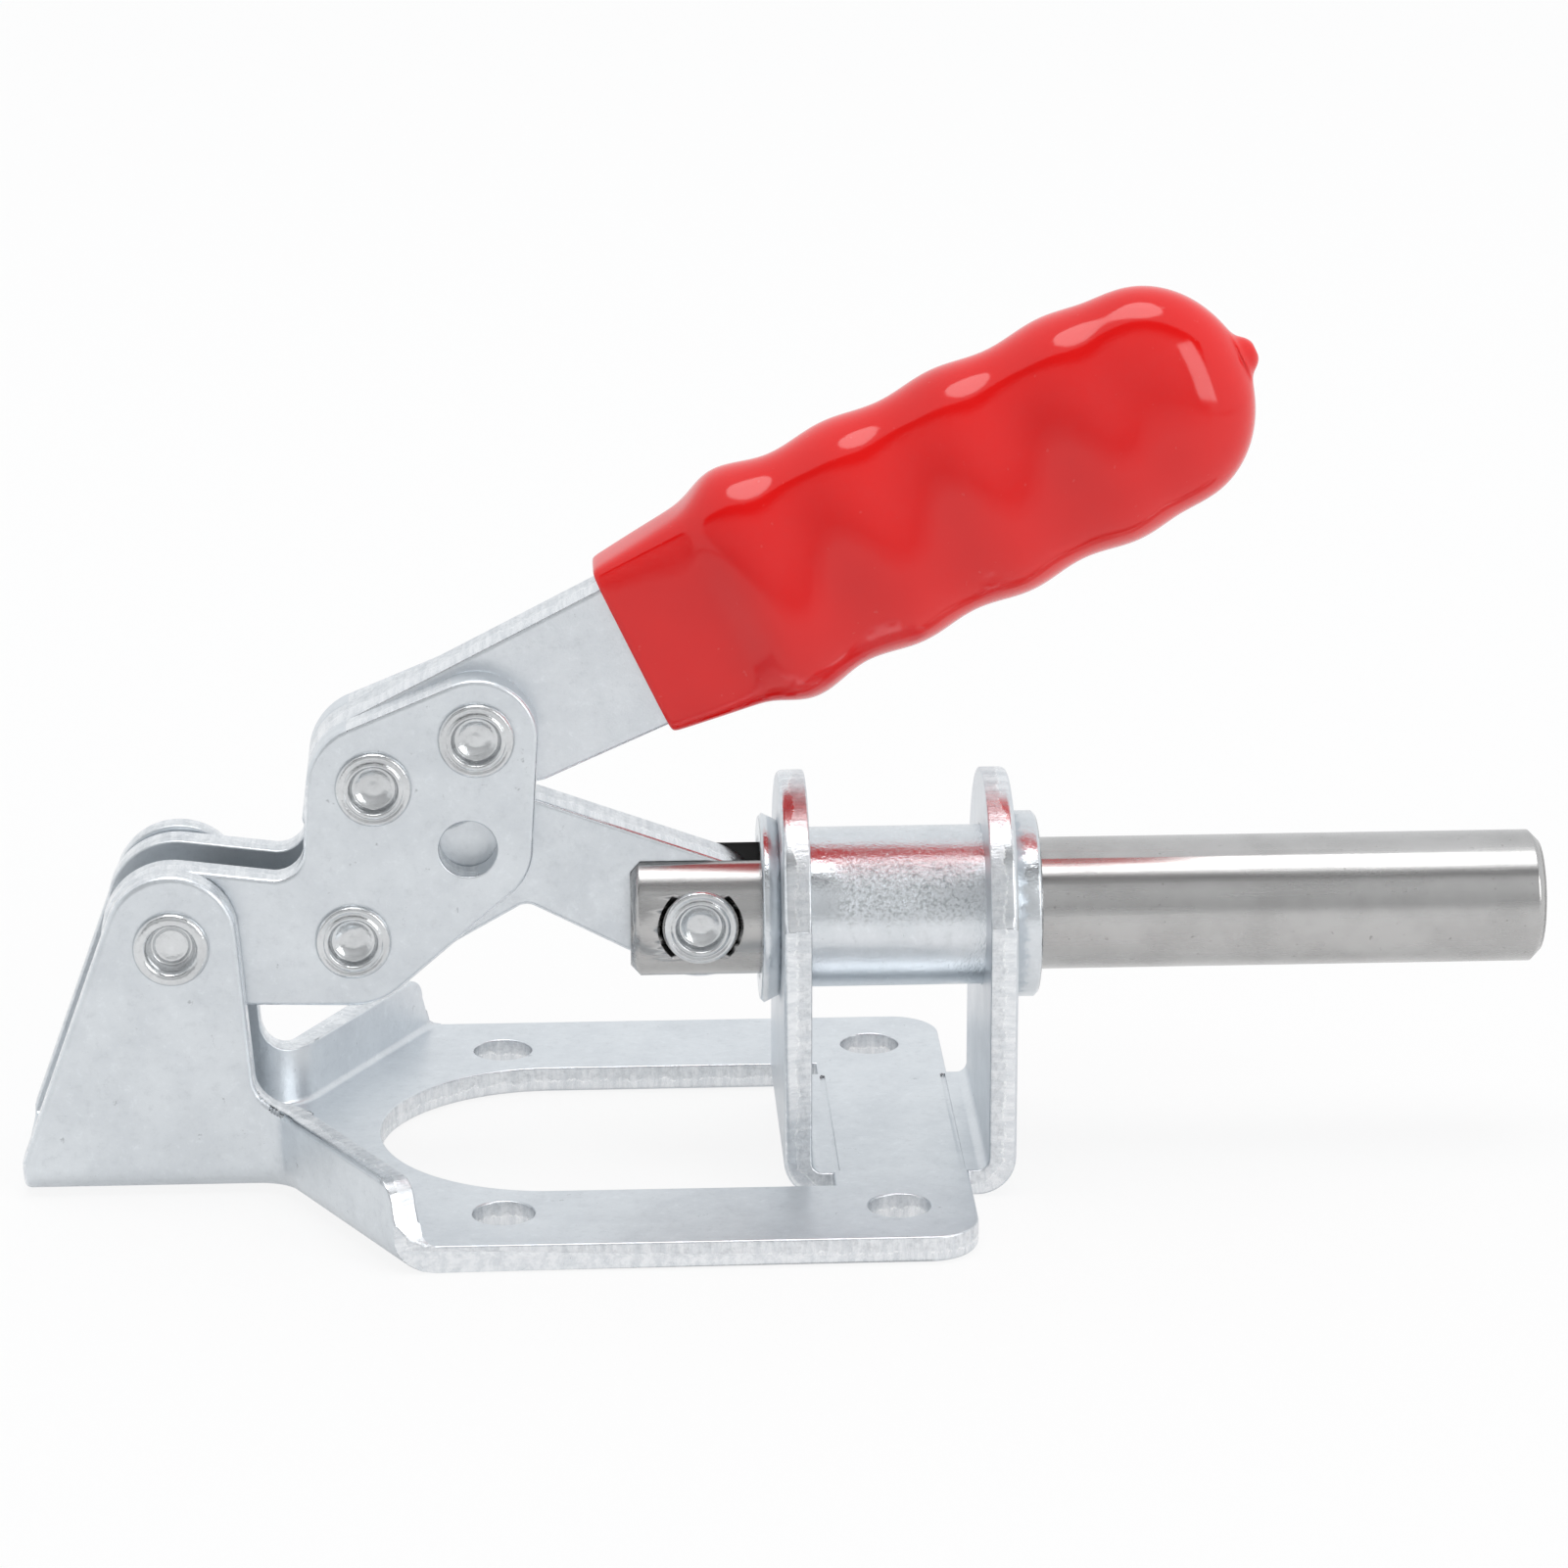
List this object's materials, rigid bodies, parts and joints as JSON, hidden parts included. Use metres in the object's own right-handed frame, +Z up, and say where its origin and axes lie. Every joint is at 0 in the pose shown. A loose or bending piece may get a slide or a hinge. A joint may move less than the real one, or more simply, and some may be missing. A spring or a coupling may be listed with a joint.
{
  "type": "toggle clamp",
  "caption": "Push-pull toggle clamp: a bent sheet base with ears and a guide sleeve, a round plunger, and a riveted over-centre linkage with a dipped grip.",
  "frame": {"origin": "centre of the four bolt holes, on the underside of the base", "axes": "+X along the plunger towards its tip, +Z up from the base, +Y across the clamp"},
  "size_m": [0.1379, 0.0562, 0.0807],
  "materials": {
    "base_zinc": "zinc plated, satin",
    "sleeve_zinc": "zinc plated, bright",
    "rivet_steel": "plated, bright",
    "plunger_steel": "ground, fine lengthwise lines",
    "link_zinc": "zinc plated, satin",
    "plate_zinc": "zinc plated, satin",
    "bar_zinc": "zinc plated, satin",
    "grip_red": "dipped, glossy"
  },
  "bodies": {
    "base": {"base_frame": "base_zinc", "guide_sleeve": "sleeve_zinc", "rear_pivot_rivet": "rivet_steel"},
    "handle": {"side_plate_near": "plate_zinc", "side_plate_far": "plate_zinc", "handle_bar": "bar_zinc", "handle_grip": "grip_red", "link_rivet": "rivet_steel", "bar_rivet_lower": "rivet_steel", "bar_rivet_upper": "rivet_steel"},
    "link": {"link": "link_zinc", "plunger_rivet_core": "rivet_steel"},
    "plunger": {"plunger": "plunger_steel", "plunger_rivet_ends": "rivet_steel"}
  },
  "joints": [
    {"name": "handle_swing", "type": "hinge", "parent": "base", "child": "handle", "pos_m": [-0.0467, 0, 0.0235], "axis": [0, -1, 0], "range_deg": [0, 155]},
    {"name": "link_swing", "type": "hinge", "parent": "handle", "child": "link", "pos_m": [-0.03061, 0, 0.0229], "axis": [0, -1, 0], "range_deg": [-170, 0]},
    {"name": "plunger_slide", "type": "slide", "parent": "base", "child": "plunger", "axis": [1, 0, 0], "range_m": [-0.0313, 0]}
  ],
  "couplings": [
    {"joint": "link_swing", "follows": "handle_swing", "ratio": -1.095},
    {"joint": "plunger_slide", "follows": "handle_swing", "m_per_rad": -0.011566}
  ]
}
